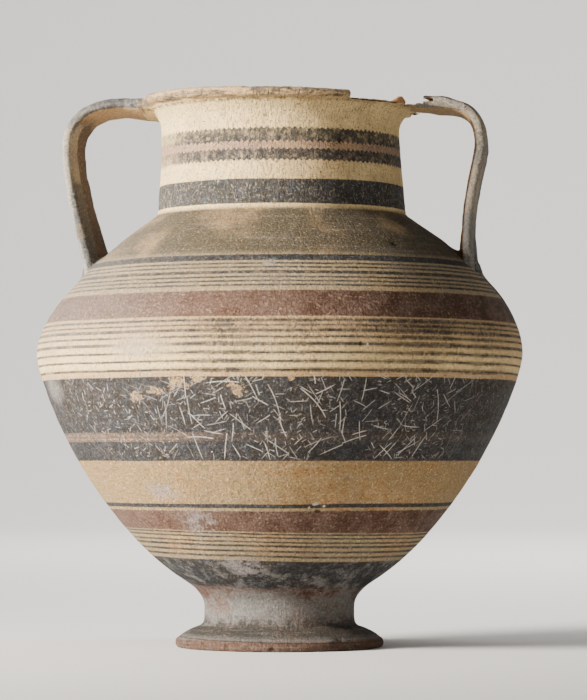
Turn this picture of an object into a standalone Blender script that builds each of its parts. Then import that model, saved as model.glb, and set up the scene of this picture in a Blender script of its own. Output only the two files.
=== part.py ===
"""Footed amphora of painted earthenware: a wheel-thrown jar on a low flaring foot, with two strap
handles from the rim to the shoulder. It was fired as one piece, so it is one closed solid.

Metres, +Z up. The origin is on the jar's axis, on the surface that it stands on. The handles lie
along -X (left) and +X (right), and -Y is the front.
"""

import math

import bmesh
import bpy
import numpy as np
from mathutils import Matrix, Vector

# Foot
FOOT_RADIUS = 0.069
FOOT_EDGE_HEIGHT = 0.0058
FOOT_EDGE_TUCK = 0.0022  # how far the standing ring's outer edge lies inside the foot's widest line
FOOT_HEIGHT = 0.0264  # up to the stem's narrowest line
STEM_RADIUS = 0.0492
RECESS_RADIUS = 0.050  # the hollow under the foot, where it meets the ground
RECESS_DEPTH = 0.023

# Body
BODY_FOOT_RADIUS = 0.0593  # where the wall swells out of the stem
STEM_FLARE_HEIGHT = 0.0151  # from the stem's narrowest line to there
BELLY_RADIUS = 0.160
LOWER_BODY_HEIGHT = 0.151
SHOULDER_HEIGHT = 0.0902
BODY_SWAY = 0.0029  # the shoulder stands this far off the axis, towards the right handle
BODY_WALL = 0.0072
FLOOR_THICKNESS = 0.013

# Neck and lip
NECK_FOOT_RADIUS = 0.0815
NECK_WAIST_RADIUS = 0.0786
NECK_WAIST_HEIGHT = 0.0555  # from the neck's foot up to its narrowest line
NECK_HEIGHT = 0.0705
NECK_WALL = 0.0066
CORNER_RADIUS = 0.0022  # the crease where the shoulder meets the neck
LIP_RADIUS = 0.0915
LIP_OVERHANG = 0.0050
LIP_WIDTH = 0.0120
LIP_HEIGHT = 0.0066
RIM_WARP = 0.0030  # the rim stands this much higher over the left handle than over the right

# Handles
STRAP_WIDTH = 0.046
STRAP_THICKNESS = 0.0092
LEFT_REACH = 0.1434  # from the axis to the handle's outermost face
RIGHT_REACH = 0.1376
LEFT_BEARING = 179.0  # degrees about the axis from the right handle, which lies along +X
ARM_LENGTH = 0.0115  # the level stretch outside the lip
LEFT_ARM_DROP = 0.0032  # from the lip's top to the middle of the strap
LEFT_ARM_RISE = 0.0014  # the arm climbs this much from the neck outwards
RIGHT_ARM_DROP = 0.0043
REACH_DROP = 0.0325  # from the lip's top to the handle's outermost point
LEFT_TWIST = 3.2  # degrees by which the strap's front edge is turned outwards
RIGHT_TWIST = 0.0
LEFT_ROOT_RADIUS = 0.1244  # where the handle's lower root meets the shoulder
RIGHT_ROOT_RADIUS = 0.1225
ARM_FLARE_LENGTH = 0.016
ARM_FLARE = 0.22  # share by which the strap widens where it meets the neck
LEFT_FLARE_LENGTH = 0.075
LEFT_FLARE = 0.26  # the same for its lower root
RIGHT_FLARE_LENGTH = 0.022
RIGHT_FLARE = 0.35

# The lost stretch of the lip, over and in front of the right handle, in degrees about the axis
BREAK_START = -54.0
BREAK_END = 17.0
BREAK_SLOPE = 5.0  # degrees over which the broken edge runs down
STUB_HEIGHT = 0.0017  # what is left of the lip there
STUB_OVERHANG = 0.0008
SPALL_LENGTH = 0.0022  # the broken face of the right handle stands this far outside the lip's edge
SPALL_DROP = 0.0052  # from the lip's top down to what is left of the handle there
SPALL_WIDTH = 0.010  # of what is left beside the neck, along the strap's front edge
SPALL_TAPER = 0.018  # the strap narrows from behind over this length towards the break

# Shares that give the curves their swell, of the straight distance between their ends, and slopes
BELLY_LEAVES, BELLY_ARRIVES, BELLY_SLOPE = 0.428, 0.090, 0.622
SHOULDER_LEAVES, SHOULDER_ARRIVES, SHOULDER_SLOPE = 0.351, 0.038, 0.730
FLARE_LEAVES, FLARE_ARRIVES, FLARE_SLOPE = 0.75, 0.66, 0.783
STEM_LEAVES, STEM_ARRIVES = 0.355, 0.289
NECK_LEAVES, NECK_ARRIVES = 0.26, 0.37
LIP_LEAVES, LIP_ARRIVES = 0.45, 0.30
FLOOR_HOLLOW = 0.35
LEFT_BEND, RIGHT_BEND = 0.64, 0.78
LEFT_HANG, RIGHT_HANG = 0.231, 0.060  # of the fall from the outermost point, before the strap turns in
LEFT_ROOT_RISE, RIGHT_ROOT_RISE = 0.471, 0.396  # of the same fall, over the lower root
LEFT_ROOT_LEAN, RIGHT_ROOT_LEAN = 0.240, -0.075

LEFT = {"reach": LEFT_REACH, "arm_drop": LEFT_ARM_DROP, "bearing": LEFT_BEARING, "twist": LEFT_TWIST,
        "arm_rise": LEFT_ARM_RISE, "bend": LEFT_BEND,
        "hang": LEFT_HANG, "root_radius": LEFT_ROOT_RADIUS, "root_rise": LEFT_ROOT_RISE,
        "root_lean": LEFT_ROOT_LEAN, "flare": LEFT_FLARE, "flare_length": LEFT_FLARE_LENGTH, "broken": False}
RIGHT = {"reach": RIGHT_REACH, "arm_drop": RIGHT_ARM_DROP, "bearing": 0.0, "twist": RIGHT_TWIST,
         "arm_rise": 0.0, "bend": RIGHT_BEND,
         "hang": RIGHT_HANG, "root_radius": RIGHT_ROOT_RADIUS, "root_rise": RIGHT_ROOT_RISE,
         "root_lean": RIGHT_ROOT_LEAN, "flare": RIGHT_FLARE, "flare_length": RIGHT_FLARE_LENGTH, "broken": True}

AROUND = 60
SECTION_POINTS = 14
STRAP_RINGS = 26


def bezier(start, leave, arrive, end, count):
    """Points along a cubic curve, with both ends."""
    t = np.linspace(0.0, 1.0, count)[:, None]
    p = [np.asarray(q, float) for q in (start, leave, arrive, end)]
    return (1 - t) ** 3 * p[0] + 3 * (1 - t) ** 2 * t * p[1] + 3 * (1 - t) * t * t * p[2] + t**3 * p[3]


def swell(start, end, out_direction, in_direction, leaves, arrives, count):
    """A cubic curve that leaves and arrives along given directions, by shares of its length."""
    start, end = np.asarray(start, float), np.asarray(end, float)
    span = np.linalg.norm(end - start)
    leave = start + leaves * span * unit(out_direction)
    arrive = end - arrives * span * unit(in_direction)
    return bezier(start, leave, arrive, end, count)


def unit(direction):
    direction = np.asarray(direction, float)
    return direction / np.linalg.norm(direction)


def ellipse_arc(centre, half_width, half_height, first, last, count):
    """Points of an upright ellipse from one angle to another, in degrees from its outer side."""
    a = np.radians(np.linspace(first, last, count))
    return np.column_stack((centre[0] + half_width * np.cos(a), centre[1] + half_height * np.sin(a)))


def thinned(points, count):
    """Fewer points of a dense curve, closer together where it turns."""
    step = np.diff(points, axis=0)
    length = np.linalg.norm(step, axis=1)
    heading = np.unwrap(np.arctan2(step[:, 1], step[:, 0]))
    turning = np.abs(np.diff(heading, prepend=heading[0]))
    cost = np.concatenate(([0], np.cumsum(length / length.sum() + turning / (turning.sum() + 1e-9))))
    at = np.linspace(0, cost[-1], count)
    return np.column_stack((np.interp(at, cost, points[:, 0]), np.interp(at, cost, points[:, 1])))


def inset(points, wall):
    """The points moved inwards, square to the curve that runs up the outside, by the wall."""
    run = np.gradient(points, axis=0)
    run /= np.linalg.norm(run, axis=1)[:, None]
    return points + wall * np.column_stack((-run[:, 1], run[:, 0]))


# Heights that follow from the rises
BODY_FOOT_Z = FOOT_HEIGHT + STEM_FLARE_HEIGHT
BELLY_Z = BODY_FOOT_Z + LOWER_BODY_HEIGHT
NECK_FOOT_Z = BELLY_Z + SHOULDER_HEIGHT
NECK_TOP_Z = NECK_FOOT_Z + NECK_HEIGHT
RIM_Z = NECK_TOP_Z + LIP_HEIGHT
NECK_TOP_RADIUS = LIP_RADIUS - LIP_OVERHANG


def recess_curve():
    """The hollow under the foot, from the axis out to the standing ring."""
    dome_reach = 0.62 * RECESS_RADIUS
    return bezier((0, RECESS_DEPTH), (dome_reach, RECESS_DEPTH), (0.86 * RECESS_RADIUS, 0.45 * RECESS_DEPTH),
                  (RECESS_RADIUS, 0), 6)


def foot_curve():
    """The standing ring's outer edge, the foot's rounded rim and its flare, up to the stem."""
    ring_edge = (FOOT_RADIUS - FOOT_EDGE_TUCK, 0.0)
    edge_top = (FOOT_RADIUS - 0.5 * FOOT_EDGE_TUCK, FOOT_EDGE_HEIGHT)
    rim = bezier(ring_edge, (FOOT_RADIUS, 0.1 * FOOT_EDGE_HEIGHT), (FOOT_RADIUS, 0.7 * FOOT_EDGE_HEIGHT),
                 edge_top, 4)
    flare = swell(edge_top, (STEM_RADIUS, FOOT_HEIGHT), (-1, FLARE_SLOPE), (0, 1), FLARE_LEAVES,
                  FLARE_ARRIVES, 6)
    return np.vstack((rim, flare[1:]))


def stem_curve():
    """From the stem's narrowest line out to where the body swells."""
    return swell((STEM_RADIUS, FOOT_HEIGHT), (BODY_FOOT_RADIUS, BODY_FOOT_Z), (0, 1), (1, BELLY_SLOPE),
                 STEM_LEAVES, STEM_ARRIVES, 5)


def lower_wall():
    """From the stem out to the belly, as a dense curve."""
    return swell((BODY_FOOT_RADIUS, BODY_FOOT_Z), (BELLY_RADIUS, BELLY_Z), (1, BELLY_SLOPE), (0, 1),
                 BELLY_LEAVES, BELLY_ARRIVES, 80)


def shoulder():
    """From the belly in to the crease at the neck's foot, as a dense curve."""
    return swell((BELLY_RADIUS, BELLY_Z), (NECK_FOOT_RADIUS + CORNER_RADIUS, NECK_FOOT_Z), (0, 1),
                 (-1, SHOULDER_SLOPE), SHOULDER_LEAVES, SHOULDER_ARRIVES, 80)


def body_curve():
    """The body's wall from the stem to the neck."""
    return thinned(np.vstack((lower_wall(), shoulder()[1:])), 17)


def neck_curve(count):
    """From the crease up the neck to the lip's underside."""
    foot = (NECK_FOOT_RADIUS, NECK_FOOT_Z + CORNER_RADIUS)
    waist = (NECK_WAIST_RADIUS, NECK_FOOT_Z + NECK_WAIST_HEIGHT)
    upright = swell(foot, waist, (0, 1), (0, 1), NECK_LEAVES, NECK_ARRIVES, count)
    flare = swell(waist, (NECK_TOP_RADIUS, NECK_TOP_Z), (0, 1), (1, 1), LIP_LEAVES, LIP_ARRIVES, 4)
    return np.vstack((upright, flare[1:]))


def lip_curve():
    """Round the lip, from its outer underside over the top to the mouth's inner edge."""
    centre = (LIP_RADIUS - LIP_WIDTH / 2, NECK_TOP_Z + LIP_HEIGHT / 2)
    return ellipse_arc(centre, LIP_WIDTH / 2, LIP_HEIGHT / 2, -62.0, 180.0, 8)


def inside_curves():
    """The hollow, as three curves from under the lip down to the middle of the floor."""
    neck_inside = inset(neck_curve(3), NECK_WALL)[:-1][::-1]
    wall = inset(np.vstack((lower_wall(), shoulder()[1:])), BODY_WALL)
    body_inside = thinned(wall, 13)[::-1]
    low = body_inside[-1]
    floor_z = RECESS_DEPTH + FLOOR_THICKNESS
    floor = swell(low, (0, floor_z), (-1, -BELLY_SLOPE), (-1, 0), FLOOR_HOLLOW, FLOOR_HOLLOW, 4)
    return neck_inside, body_inside, floor[1:]


def meridian():
    """The whole outline in one run, from the axis under the foot to the axis on the inside floor."""
    runs = [recess_curve(), foot_curve(), stem_curve()[1:], body_curve()[1:], neck_curve(4), lip_curve(),
            *inside_curves()]
    return np.vstack(runs)


def smooth_step(value, low, high):
    t = np.clip((value - low) / (high - low), 0.0, 1.0)
    return t * t * (3 - 2 * t)


def lost(angle):
    """1 where the lip has broken away and 0 where it is whole, for an angle in radians."""
    degrees = math.degrees(math.atan2(math.sin(angle), math.cos(angle)))
    begins = smooth_step(degrees, BREAK_START - BREAK_SLOPE, BREAK_START)
    ends = 1.0 - smooth_step(degrees, BREAK_END, BREAK_END + BREAK_SLOPE)
    return float(begins * ends)


def warp(angle, z):
    """How far the rim's warp lifts a point of the neck or lip."""
    share = np.clip((z - NECK_FOOT_Z) / (RIM_Z - NECK_FOOT_Z), 0.0, None)
    return RIM_WARP * (0.5 - 0.5 * math.cos(angle)) ** 2 * share**2


def sway(z):
    """How far the jar's axis strays towards the right handle at a height."""
    out = smooth_step(z, BELLY_Z, NECK_FOOT_Z - NECK_HEIGHT / 2)
    back = 0.55 * smooth_step(z, NECK_FOOT_Z - NECK_HEIGHT / 2, NECK_FOOT_Z + NECK_HEIGHT / 4)
    home = 0.35 * smooth_step(z, NECK_FOOT_Z + NECK_HEIGHT / 4, NECK_TOP_Z)
    return float(BODY_SWAY * out * (1 - back - home))


def jar_point(r, z, angle):
    """A point of the outline turned to an angle, with the break and the warp."""
    gone = lost(angle)
    if gone and z > NECK_TOP_Z:
        z = NECK_TOP_Z + (z - NECK_TOP_Z) * (1 - gone * (1 - STUB_HEIGHT / LIP_HEIGHT))
        over = r - NECK_TOP_RADIUS
        if over > 0:
            r = NECK_TOP_RADIUS + over * (1 - gone * (1 - STUB_OVERHANG / LIP_OVERHANG))
    return r * math.cos(angle) + sway(z), r * math.sin(angle), z + warp(angle, z)


def material():
    clay = bpy.data.materials.new("painted_earthenware")
    clay.use_nodes = True
    shader = clay.node_tree.nodes["Principled BSDF"]
    shader.inputs["Base Color"].default_value = (0.50, 0.38, 0.26, 1)
    shader.inputs["Roughness"].default_value = 0.85
    shader.inputs["Metallic"].default_value = 0.0
    return clay


def mesh_object(name, build):
    """An object whose mesh the given function fills, with its faces pointing out."""
    mesh = bpy.data.meshes.new(name)
    made = bmesh.new()
    build(made)
    bmesh.ops.recalc_face_normals(made, faces=made.faces)
    made.to_mesh(mesh)
    made.free()
    mesh.shade_smooth()
    mesh.set_sharp_from_angle(angle=math.radians(40))
    piece = bpy.data.objects.new(name, mesh)
    bpy.context.scene.collection.objects.link(piece)
    return piece


def bridge(made, first, second):
    """A band of four-sided faces between two rings of as many points."""
    for k in range(len(first)):
        n = (k + 1) % len(first)
        made.faces.new((first[k], first[n], second[n], second[k]))


def fan(made, middle, ring):
    for k in range(len(ring)):
        made.faces.new((middle, ring[k], ring[(k + 1) % len(ring)]))


def build_jar(made):
    outline = meridian()
    angles = [2 * math.pi * k / AROUND for k in range(AROUND)]
    rings = [[made.verts.new(jar_point(r, z, a)) for a in angles] for r, z in outline[1:-1]]
    for first, second in zip(rings, rings[1:]):
        bridge(made, first, second)
    fan(made, made.verts.new((0, 0, outline[0][1])), rings[0])
    fan(made, made.verts.new((0, 0, outline[-1][1])), rings[-1])


def neck_wall_middle(z):
    """The radius of the middle of the wall at a height of the neck or lip."""
    outside = neck_curve(9)
    middle = np.interp(z, outside[:, 1], outside[:, 0]) - NECK_WALL / 2
    return min(middle, LIP_RADIUS - LIP_WIDTH / 2)


def shoulder_height(r):
    """The height of the shoulder's outer face at a radius."""
    curve = shoulder()[::-1]
    return float(np.interp(r, curve[:, 0], curve[:, 1]))


def strap_line(handle, count):
    """The strap's middle line as (radius, height) points, from the neck's wall to the shoulder's."""
    top = np.array((LIP_RADIUS + ARM_LENGTH, RIM_Z - handle["arm_drop"]))
    side = np.array((handle["reach"] - STRAP_THICKNESS / 2, RIM_Z - REACH_DROP))
    root = np.array((handle["root_radius"], shoulder_height(handle["root_radius"])))
    across, down = (side - top) * handle["bend"]
    bend = bezier(top, top + (across, 0), side - (0, down), side, 30)
    fall = (side - root)[1]
    rise = fall * handle["root_rise"]
    drop = bezier(side, side - (0, fall * handle["hang"]), root + (rise * handle["root_lean"], rise), root, 30)
    arm = np.linspace((NECK_TOP_RADIUS, top[1] - handle["arm_rise"]), top, 12)
    line = np.vstack((arm, bend[1:], drop[1:]))
    run = np.concatenate(([0], np.cumsum(np.linalg.norm(np.diff(line, axis=0), axis=1))))
    at = np.linspace(0, run[-1], count)
    return np.column_stack((np.interp(at, run, line[:, 0]), np.interp(at, run, line[:, 1]))), at


def section():
    """The strap's cross-section, a flattened oval with full edges, as shares of its half sides."""
    a = 2 * np.pi * (np.arange(SECTION_POINTS) + 0.5) / SECTION_POINTS
    full = 2 / 3.0
    return np.column_stack((np.sign(np.cos(a)) * np.abs(np.cos(a)) ** full,
                            np.sign(np.sin(a)) * np.abs(np.sin(a)) ** full))


def spalled(x, y, z):
    """The right handle's broken end: only a strip of its front edge still reaches the neck."""
    edge = LIP_RADIUS + SPALL_LENGTH
    share = SPALL_WIDTH / STRAP_WIDTH
    kept = share + (1 - share) * smooth_step(x, edge, edge + SPALL_TAPER)
    front = -STRAP_WIDTH / 2
    top = RIM_Z - SPALL_DROP
    if x < edge and z > top:
        z = top + 0.05 * (z - top)
    return front + (y - front) * kept, z


def strap_rings(handle):
    """The strap's rings along +X, bent to sit in the neck's wall and the shoulder's at its ends."""
    line, at = strap_line(handle, STRAP_RINGS)
    run = np.gradient(line, axis=0)
    run /= np.linalg.norm(run, axis=1)[:, None]
    twist = math.radians(handle["twist"])
    rings = []
    for k, (middle, ahead) in enumerate(zip(line, run)):
        grow = 1 + ARM_FLARE * (1 - smooth_step(at[k], 0.0, ARM_FLARE_LENGTH))
        grow += handle["flare"] * (1 - smooth_step(at[-1] - at[k], 0.0, handle["flare_length"]))
        ring = []
        for across, through in section():
            flat_y = across * grow * STRAP_WIDTH / 2
            flat_lift = through * grow * STRAP_THICKNESS / 2
            y = flat_y * math.cos(twist) - flat_lift * math.sin(twist)
            lift = flat_lift * math.cos(twist) + flat_y * math.sin(twist)
            x, z = middle[0] - ahead[1] * lift, middle[1] + ahead[0] * lift
            if handle["broken"] and middle[1] > RIM_Z - REACH_DROP:
                y, z = spalled(x, y, z)
            if k == 0:
                wall = neck_wall_middle(z)
                x = math.sqrt(wall**2 - y**2)
            if k == len(line) - 1:
                z = shoulder_height(math.hypot(x, y)) - 0.7 * BODY_WALL
            ring.append((x, y, z))
        rings.append(ring)
    return rings


def build_strap(handle):
    """Fills a mesh with one handle, turned about the axis to its bearing and set over as the jar is."""
    turn = Matrix.Rotation(math.radians(handle["bearing"]), 3, "Z")

    def build(made):
        rings = [[made.verts.new(turn @ Vector(point) + Vector((sway(point[2]), 0, 0))) for point in ring]
                 for ring in strap_rings(handle)]
        for first, second in zip(rings, rings[1:]):
            bridge(made, first, second)
        made.faces.new(rings[0])
        made.faces.new(rings[-1])

    return build


def join(whole, part):
    """Fuses a part into the whole; the part itself is left as a hidden guide."""
    fuse = whole.modifiers.new("join_" + part.name, "BOOLEAN")
    fuse.operation = "UNION"
    fuse.solver = "EXACT"
    fuse.object = part
    part.hide_render = True
    part.display_type = "WIRE"


def main():
    for old in list(bpy.data.objects):
        bpy.data.objects.remove(old)
    jar = mesh_object("amphora", build_jar)
    jar.data.materials.append(material())
    join(jar, mesh_object("left_handle", build_strap(LEFT)))
    join(jar, mesh_object("right_handle", build_strap(RIGHT)))


main()
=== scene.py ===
"""Looks of the footed amphora: the jar's finished surface with its paint, wear and damage, and the
floor, light and camera. One piece, `jar`, stands for the CAD node `amphora`.

Metres, +Z up, -Y the front. Angles about the axis are in degrees from +X, so -90 is the front.
"""

import math

import bmesh
import bpy
import numpy as np
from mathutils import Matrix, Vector
from mathutils.kdtree import KDTree
from mathutils.noise import fractal


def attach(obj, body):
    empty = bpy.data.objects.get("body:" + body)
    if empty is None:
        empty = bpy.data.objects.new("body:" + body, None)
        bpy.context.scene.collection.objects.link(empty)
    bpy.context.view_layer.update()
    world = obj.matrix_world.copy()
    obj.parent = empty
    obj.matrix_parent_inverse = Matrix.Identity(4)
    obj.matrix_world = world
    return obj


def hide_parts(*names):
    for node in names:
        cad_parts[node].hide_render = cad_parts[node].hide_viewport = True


# Foot, body, neck and lip, as in the solids
FOOT_RADIUS = 0.069
FOOT_EDGE_HEIGHT = 0.0058
FOOT_EDGE_TUCK = 0.0022
FOOT_HEIGHT = 0.0264
STEM_RADIUS = 0.0492
RECESS_RADIUS = 0.050
RECESS_DEPTH = 0.023
BODY_FOOT_RADIUS = 0.0593
BODY_FOOT_Z = 0.0415
BELLY_RADIUS = 0.160
BELLY_Z = 0.1925
BODY_SWAY = 0.0029
BODY_WALL = 0.0072
FLOOR_THICKNESS = 0.013
NECK_FOOT_RADIUS = 0.0815
NECK_FOOT_Z = 0.2827
NECK_WAIST_RADIUS = 0.0786
NECK_WAIST_Z = 0.3382
NECK_HEIGHT = 0.0705
NECK_TOP_Z = NECK_FOOT_Z + NECK_HEIGHT
NECK_WALL = 0.0066
CORNER_RADIUS = 0.0022
LIP_RADIUS = 0.0915
LIP_OVERHANG = 0.0050
LIP_WIDTH = 0.0120
LIP_HEIGHT = 0.0066
RIM_WARP = 0.0030
RIM_Z = NECK_TOP_Z + LIP_HEIGHT
NECK_TOP_RADIUS = LIP_RADIUS - LIP_OVERHANG
BELLY_LEAVES, BELLY_ARRIVES, BELLY_SLOPE = 0.428, 0.090, 0.622
SHOULDER_LEAVES, SHOULDER_ARRIVES, SHOULDER_SLOPE = 0.351, 0.038, 0.730
FLARE_LEAVES, FLARE_ARRIVES, FLARE_SLOPE = 0.75, 0.66, 0.783
STEM_LEAVES, STEM_ARRIVES = 0.355, 0.289
NECK_LEAVES, NECK_ARRIVES = 0.26, 0.37
LIP_LEAVES, LIP_ARRIVES = 0.45, 0.30
FLOOR_HOLLOW = 0.35

# Handles, as in the solids
STRAP_WIDTH = 0.046
STRAP_THICKNESS = 0.0092
ARM_LENGTH = 0.0115
REACH_DROP = 0.0325
ARM_FLARE_LENGTH = 0.016
ARM_FLARE = 0.22
LEFT = {"reach": 0.1434, "arm_drop": 0.0032, "arm_rise": 0.0014, "bend": 0.64, "bearing": 179.0,
        "twist": 3.2, "hang": 0.231, "root_radius": 0.1244, "root_rise": 0.471, "root_lean": 0.240,
        "flare": 0.26, "flare_length": 0.075}
RIGHT = {"reach": 0.1376, "arm_drop": 0.0043, "arm_rise": 0.0, "bend": 0.78, "bearing": 0.0,
         "twist": 0.0, "hang": 0.060, "root_radius": 0.1225, "root_rise": 0.396, "root_lean": -0.075,
         "flare": 0.35, "flare_length": 0.022}

# The lost stretch of the lip and what stands in it
BREAK_START = -55.0
BREAK_END = 19.0
STUB_HEIGHT = 0.0023  # of the broken edge over the neck's top
BRIDGE_TOP = 0.0052  # from the lip's top down to what still joins the right handle to the neck
BREAK_PLAN = ((0.0880, -0.0130), (0.0925, -0.0140), (0.1130, 0.0270), (0.0850, 0.0270))
ARM_EDGE_ANGLE = -17.0  # where the right arm begins to stand over the break
SPIKE_ANGLE = -21.2  # a last bit of lip beside the handle, steeper on the handle's side
SPIKE_RUN_UP, SPIKE_RUN_DOWN = 7.6, 3.0
SPIKE_HEIGHT = 0.0046
CUT_TOP = 0.3700  # over the whole jar, where the cutting shapes end
BROKEN_CELL = 0.0016  # of the mesh of a broken face

# Relief. Layers of unevenness: (depth, swells per metre, octaves, on the outside alone)
JAR_UNEVENNESS = ((0.00045, 9, 3, False), (0.00022, 34, 3, False), (0.00016, (3, 3, 150), 2, True),
                  (0.00008, 160, 2, False))
STRAP_UNEVENNESS = ((0.00050, 45, 3, False), (0.00022, 150, 3, False), (0.00010, 420, 2, False))
RILL_DEPTH, RILL_SPACING = 0.0006, 0.013  # that turning left inside the body
RIDGE_Z = 0.2859  # the fine ridge at the neck's foot
RIDGE_HEIGHT, RIDGE_WIDTH = 0.0006, 0.0008
FILLET = 0.0065  # clay smoothed into the corner around a handle's root

# Camera, from the photo's perspective
CAMERA_DISTANCE = 2.179
CAMERA_HEIGHT = 0.126
CAMERA_AZIMUTH = 5.0
CAMERA_ASIDE = 0.0092  # the jar stands left of the frame's middle by this
PHOTO_WIDTH, PHOTO_HEIGHT = 587, 700
FOCUS_PIXELS = 3300.0
HORIZON_BELOW_CENTRE = 105.0
SENSOR = 36.0

AROUND = 324  # points on each ring of the jar
FLOOR_SIDES = 96
ROUND = 2 * math.pi
CHUNK = 20000  # points compared with a handle's line at once

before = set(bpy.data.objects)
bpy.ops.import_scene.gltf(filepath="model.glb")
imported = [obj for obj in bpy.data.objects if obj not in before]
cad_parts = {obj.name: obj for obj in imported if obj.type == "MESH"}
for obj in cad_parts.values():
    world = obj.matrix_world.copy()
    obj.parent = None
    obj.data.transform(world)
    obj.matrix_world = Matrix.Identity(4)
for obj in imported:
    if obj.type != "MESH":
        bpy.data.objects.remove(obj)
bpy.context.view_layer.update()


# Curves of the outline
def unit(direction):
    direction = np.asarray(direction, float)
    return direction / np.linalg.norm(direction)


def bezier(start, leave, arrive, end, count):
    """Points along a cubic curve, with both ends."""
    t = np.linspace(0.0, 1.0, count)[:, None]
    p = [np.asarray(q, float) for q in (start, leave, arrive, end)]
    return (1 - t) ** 3 * p[0] + 3 * (1 - t) ** 2 * t * p[1] + 3 * (1 - t) * t * t * p[2] + t**3 * p[3]


def swell(start, end, out_direction, in_direction, leaves, arrives, count):
    """A cubic curve that leaves and arrives along given directions, by shares of its length."""
    start, end = np.asarray(start, float), np.asarray(end, float)
    span = np.linalg.norm(end - start)
    return bezier(start, start + leaves * span * unit(out_direction),
                  end - arrives * span * unit(in_direction), end, count)


def distances(points):
    """How far along a run of points each one lies."""
    return np.concatenate(([0], np.cumsum(np.linalg.norm(np.diff(points, axis=0), axis=1))))


def heading(points):
    """The direction in which a run of points goes on at each one."""
    run = np.gradient(points, axis=0)
    return run / np.linalg.norm(run, axis=1)[:, None]


def spaced(points, spacing):
    """Points of a dense curve, about evenly spaced."""
    run = distances(points)
    at = np.linspace(0, run[-1], max(2, round(run[-1] / spacing) + 1))
    return np.column_stack((np.interp(at, run, points[:, 0]), np.interp(at, run, points[:, 1])))


def inset(points, wall):
    """The points moved inwards, square to the curve that runs up the outside, by the wall."""
    run = heading(points)
    return points + wall * np.column_stack((-run[:, 1], run[:, 0]))


def smooth_step(value, low, high):
    t = np.clip((value - low) / (high - low), 0.0, 1.0)
    return t * t * (3 - 2 * t)


def recess_curve():
    return bezier((0, RECESS_DEPTH), (0.62 * RECESS_RADIUS, RECESS_DEPTH),
                  (0.86 * RECESS_RADIUS, 0.45 * RECESS_DEPTH), (RECESS_RADIUS, 0), 60)


def foot_curves():
    """The foot's rounded edge and its flare up to the stem."""
    ring_edge = (FOOT_RADIUS - FOOT_EDGE_TUCK, 0.0)
    edge_top = (FOOT_RADIUS - 0.5 * FOOT_EDGE_TUCK, FOOT_EDGE_HEIGHT)
    rim = bezier(ring_edge, (FOOT_RADIUS, 0.1 * FOOT_EDGE_HEIGHT), (FOOT_RADIUS, 0.7 * FOOT_EDGE_HEIGHT),
                 edge_top, 30)
    flare = swell(edge_top, (STEM_RADIUS, FOOT_HEIGHT), (-1, FLARE_SLOPE), (0, 1), FLARE_LEAVES,
                  FLARE_ARRIVES, 60)
    return rim, flare


def stem_curve():
    return swell((STEM_RADIUS, FOOT_HEIGHT), (BODY_FOOT_RADIUS, BODY_FOOT_Z), (0, 1), (1, BELLY_SLOPE),
                 STEM_LEAVES, STEM_ARRIVES, 40)


def lower_wall():
    return swell((BODY_FOOT_RADIUS, BODY_FOOT_Z), (BELLY_RADIUS, BELLY_Z), (1, BELLY_SLOPE), (0, 1),
                 BELLY_LEAVES, BELLY_ARRIVES, 200)


def shoulder():
    return swell((BELLY_RADIUS, BELLY_Z), (NECK_FOOT_RADIUS + CORNER_RADIUS, NECK_FOOT_Z), (0, 1),
                 (-1, SHOULDER_SLOPE), SHOULDER_LEAVES, SHOULDER_ARRIVES, 200)


def neck_curve():
    foot, waist = (NECK_FOOT_RADIUS, NECK_FOOT_Z + CORNER_RADIUS), (NECK_WAIST_RADIUS, NECK_WAIST_Z)
    upright = swell(foot, waist, (0, 1), (0, 1), NECK_LEAVES, NECK_ARRIVES, 80)
    flare = swell(waist, (NECK_TOP_RADIUS, NECK_TOP_Z), (0, 1), (1, 1), LIP_LEAVES, LIP_ARRIVES, 40)
    return np.vstack((upright, flare[1:]))


def lip_curve():
    """Round the lip, from its outer underside over the top to the mouth's inner edge."""
    a = np.radians(np.linspace(-62.0, 180.0, 80))
    full = 0.86  # a little fuller than an oval
    c, s = np.cos(a), np.sin(a)
    return np.column_stack((LIP_RADIUS - LIP_WIDTH / 2 * (1 - np.sign(c) * np.abs(c) ** full),
                            NECK_TOP_Z + LIP_HEIGHT / 2 * (1 + np.sign(s) * np.abs(s) ** full)))


def meridian():
    """The whole outline in one run, its points closer where it turns, and where its outside ends."""
    rim, flare = foot_curves()
    outside = [spaced(recess_curve(), 0.0045), spaced(rim, 0.0011), spaced(flare, 0.0018)[1:],
               spaced(stem_curve(), 0.0022)[1:], spaced(lower_wall(), 0.0030)[1:],
               spaced(shoulder(), 0.0028)[1:-3], spaced(shoulder()[-16:], 0.0009),
               spaced(neck_curve()[:12], 0.0008), spaced(neck_curve()[11:], 0.0024)[1:-1],
               spaced(neck_curve()[-5:], 0.0008), spaced(lip_curve(), 0.0010)]
    neck_inside = spaced(inset(neck_curve(), NECK_WALL)[:-8][::-1], 0.0048)
    body_inside = spaced(inset(np.vstack((lower_wall(), shoulder()[1:])), BODY_WALL)[::-1], 0.0085)
    low = body_inside[-1]
    floor_z = RECESS_DEPTH + FLOOR_THICKNESS
    floor = spaced(swell(low, (0, floor_z), (-1, -BELLY_SLOPE), (-1, 0), FLOOR_HOLLOW, FLOOR_HOLLOW, 40),
                   0.009)
    outer = np.vstack(outside)
    return np.vstack((outer, neck_inside, body_inside, floor[1:])), len(outer)


def outer_radius(z):
    """The radius of the jar's outer face at heights over the stem."""
    curve = np.vstack((stem_curve(), lower_wall()[1:], shoulder()[1:], neck_curve()))
    return np.interp(z, curve[:, 1], curve[:, 0])


def shoulder_height(r):
    curve = shoulder()[::-1]
    return np.interp(r, curve[:, 0], curve[:, 1])


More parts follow.
